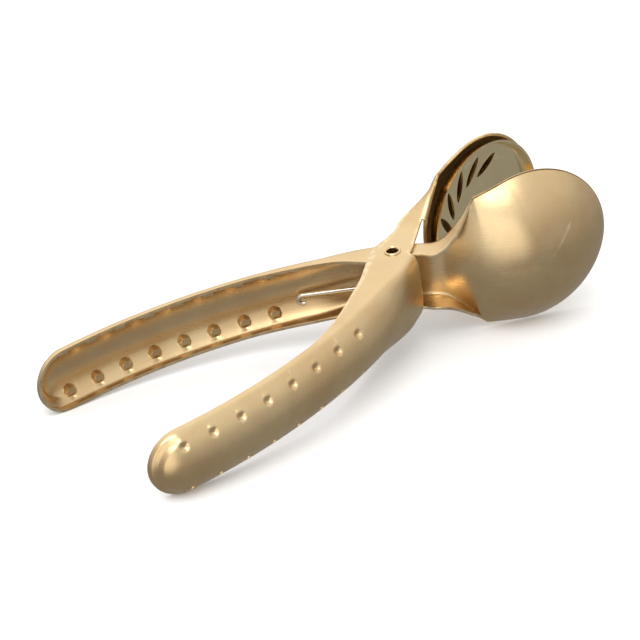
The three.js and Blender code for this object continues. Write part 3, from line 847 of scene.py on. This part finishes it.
def makeFinish(finish):
    material = bpy.data.materials.new(finish["name"])
    material.use_nodes = True
    tree = material.node_tree
    join = tree.links.new
    surface = tree.nodes["Principled BSDF"]
    surface.inputs["Metallic"].default_value = 1.0
    where = addNode(tree, "ShaderNodeTexCoord", (-1300, 0))
    lines = addNode(tree, "ShaderNodeGroup", (-1000, -200), node_tree=brushLines)
    lines.inputs["Along"].default_value = finish["along"]
    lines.inputs["Across"].default_value = finish["across"]
    join(where.outputs["UV" if finish["onSheet"] else "Object"], lines.inputs["Vector"])
    clouds = addNode(tree, "ShaderNodeGroup", (-1000, 200), node_tree=coatClouds)
    clouds.inputs["Size"].default_value = finish["cloudSize"]
    wear = addNode(tree, "ShaderNodeGroup", (-1000, 400), node_tree=edgeWear)
    tone = addNode(tree, "ShaderNodeMix", (-700, 300), data_type="RGBA")
    tone.inputs["A"].default_value = (*finish["light"], 1)
    tone.inputs["B"].default_value = (*finish["deep"], 1)
    join(clouds.outputs["Cloud"], tone.inputs["Factor"])
    worn = addNode(tree, "ShaderNodeMix", (-400, 300), data_type="RGBA")
    worn.inputs["B"].default_value = (*finish["worn"], 1)
    join(wear.outputs["Wear"], worn.inputs["Factor"])
    join(tone.outputs["Result"], worn.inputs["A"])
    join(worn.outputs["Result"], surface.inputs["Base Color"])
    dull = addNode(tree, "ShaderNodeMath", (-700, 0), {1: smudgeShare}, operation="MULTIPLY_ADD")
    join(clouds.outputs["Smudge"], dull.inputs[0])
    join(lines.outputs["Lines"], dull.inputs[2])
    rough = addNode(tree, "ShaderNodeMapRange", (-400, 0), {
        "From Min": 0.3, "From Max": 0.8, "To Min": finish["roughFrom"], "To Max": finish["roughTo"]})
    join(dull.outputs["Value"], rough.inputs["Value"])
    join(rough.outputs["Result"], surface.inputs["Roughness"])
    bump = addNode(tree, "ShaderNodeBump", (-400, -300), {"Strength": finish["bump"], "Distance": 0.0002})
    join(lines.outputs["Height"], bump.inputs["Height"])
    join(bump.outputs["Normal"], surface.inputs["Normal"])
    return material


def dress(piece, material, body, node):
    piece.data.materials.clear()
    piece.data.materials.append(material)
    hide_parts(node)
    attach(piece, body)


goldCoat = makeFinish(satinGold)
dress(makeLever("bowlLever", bowlLever), goldCoat, "bowl_side", "bowl_lever")
dress(makeLever("strainerLever", strainerLever), goldCoat, "strainer_side", "strainer_lever")
dress(makePan(), makeFinish(mirrorGold), "strainer_side", "strainer_pan")
dress(makeRivet(), makeFinish(rivetGold), "strainer_side", "pivot_tube")

coil = makeSpring()
coil.data.materials.append(makeFinish(springSteel))
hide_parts("torsion_spring")
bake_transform(coil)

# A white table, seen by the camera and lit softly; shiny pieces mirror the studio instead.
studio = {
    "tableHalf": 3.0, "tableWhite": (0.9, 0.9, 0.9), "skyWhite": 1.25,
    "low": 0.34, "level": 0.52, "high": 0.95,
    "boxes": [
        {"towards": (-0.64, -0.74, 0.05), "from": 0.80, "to": 0.97, "gain": 0.95},
        {"towards": (0.30, 0.85, 0.45), "from": 0.30, "to": 0.95, "gain": 0.35},
    ],
}


def makeTable():
    bpy.ops.object.select_all(action="DESELECT")
    bpy.ops.mesh.primitive_grid_add(x_subdivisions=8, y_subdivisions=8, size=2 * studio["tableHalf"])
    table = bpy.context.object
    table.name = "table"
    table.visible_glossy = False
    cloth = bpy.data.materials.new("tableWhite")
    cloth.use_nodes = True
    paint = cloth.node_tree.nodes["Principled BSDF"]
    paint.inputs["Base Color"].default_value = (*studio["tableWhite"], 1)
    paint.inputs["Roughness"].default_value = 0.9
    paint.inputs["Specular IOR Level"].default_value = 0.0
    table.data.materials.append(cloth)


def makeStudio():
    world = bpy.data.worlds.new("studio")
    bpy.context.scene.world = world
    world.use_nodes = True
    tree = world.node_tree
    join = tree.links.new
    sky = tree.nodes["Background"]
    where = addNode(tree, "ShaderNodeTexCoord", (-1400, 0))
    apart = addNode(tree, "ShaderNodeSeparateXYZ", (-1200, 200))
    join(where.outputs["Generated"], apart.inputs["Vector"])
    rise = addNode(tree, "ShaderNodeValToRGB", (-900, 200))
    half = addNode(tree, "ShaderNodeMath", (-1050, 200), {1: 0.5, 2: 0.5}, operation="MULTIPLY_ADD")
    join(apart.outputs["Z"], half.inputs[0])
    join(half.outputs["Value"], rise.inputs["Fac"])
    stops = rise.color_ramp
    stops.interpolation = "EASE"
    stops.elements[0].position = 0.30
    stops.elements[0].color = (studio["low"],) * 3 + (1,)
    stops.elements[1].position = 0.85
    stops.elements[1].color = (studio["high"],) * 3 + (1,)
    stops.elements.new(0.5).color = (studio["level"],) * 3 + (1,)
    total = rise.outputs["Color"]
    for k, light in enumerate(studio["boxes"]):
        towards = Vector(light["towards"]).normalized()
        facing = addNode(tree, "ShaderNodeVectorMath", (-1200, -200 - 250 * k), {1: towards},
                         operation="DOT_PRODUCT")
        glow = addNode(tree, "ShaderNodeMapRange", (-900, -200 - 250 * k), {
            "From Min": light["from"], "From Max": light["to"], "To Min": 0.0, "To Max": light["gain"]},
            interpolation_type="SMOOTHSTEP")
        more = addNode(tree, "ShaderNodeMath", (-600 + 150 * k, -100), operation="ADD")
        join(where.outputs["Generated"], facing.inputs[0])
        join(facing.outputs["Value"], glow.inputs["Value"])
        join(glow.outputs["Result"], more.inputs[0])
        join(total, more.inputs[1])
        total = more.outputs["Value"]
    ray = addNode(tree, "ShaderNodeLightPath", (-300, 300))
    pick = addNode(tree, "ShaderNodeMix", (-100, 0), {"A": studio["skyWhite"]}, data_type="FLOAT")
    join(ray.outputs["Is Glossy Ray"], pick.inputs["Factor"])
    join(total, pick.inputs["B"])
    join(pick.outputs["Result"], sky.inputs["Color"])


# The camera stands back and to the left, looking down on the rivet side.
view = {"azimuth": 34.06, "elevation": 29.1, "roll": 2.26, "lens": 155.8, "distance": 0.8382,
        "aim": (-0.00731, 0.0, 0.01864)}


def makeCamera():
    azimuth = math.radians(view["azimuth"])
    elevation = math.radians(view["elevation"])
    ahead = Vector((math.sin(azimuth) * math.cos(elevation), math.cos(azimuth) * math.cos(elevation),
                    -math.sin(elevation)))
    level = Vector((math.cos(azimuth), -math.sin(azimuth), 0))
    upright = level.cross(ahead)
    roll = math.radians(view["roll"])
    right = level * math.cos(roll) - upright * math.sin(roll)
    up = upright * math.cos(roll) + level * math.sin(roll)
    lens = bpy.data.cameras.new("camera")
    lens.lens = view["lens"]
    camera = bpy.data.objects.new("camera", lens)
    bpy.context.scene.collection.objects.link(camera)
    turn = Matrix((right, up, -ahead)).transposed().to_4x4()
    camera.matrix_world = Matrix.Translation(Vector(view["aim"]) - ahead * view["distance"]) @ turn
    bpy.context.scene.camera = camera


# One big soft lamp above gives the table its faint shadow.
lamp = {"at": (-0.5, -0.35, 1.1), "size": 0.9, "power": 6.0}


def makeLamp():
    light = bpy.data.lights.new("softLamp", "AREA")
    light.shape = "DISK"
    light.size = lamp["size"]
    light.energy = lamp["power"]
    box = bpy.data.objects.new("softLamp", light)
    bpy.context.scene.collection.objects.link(box)
    box.location = lamp["at"]
    box.rotation_euler = (-Vector(lamp["at"])).to_track_quat("-Z", "Y").to_euler()


makeTable()
makeStudio()
makeLamp()
makeCamera()
bpy.context.scene.view_settings.view_transform = "Standard"
print("studio set")

bpy.ops.object.select_all(action="DESELECT")
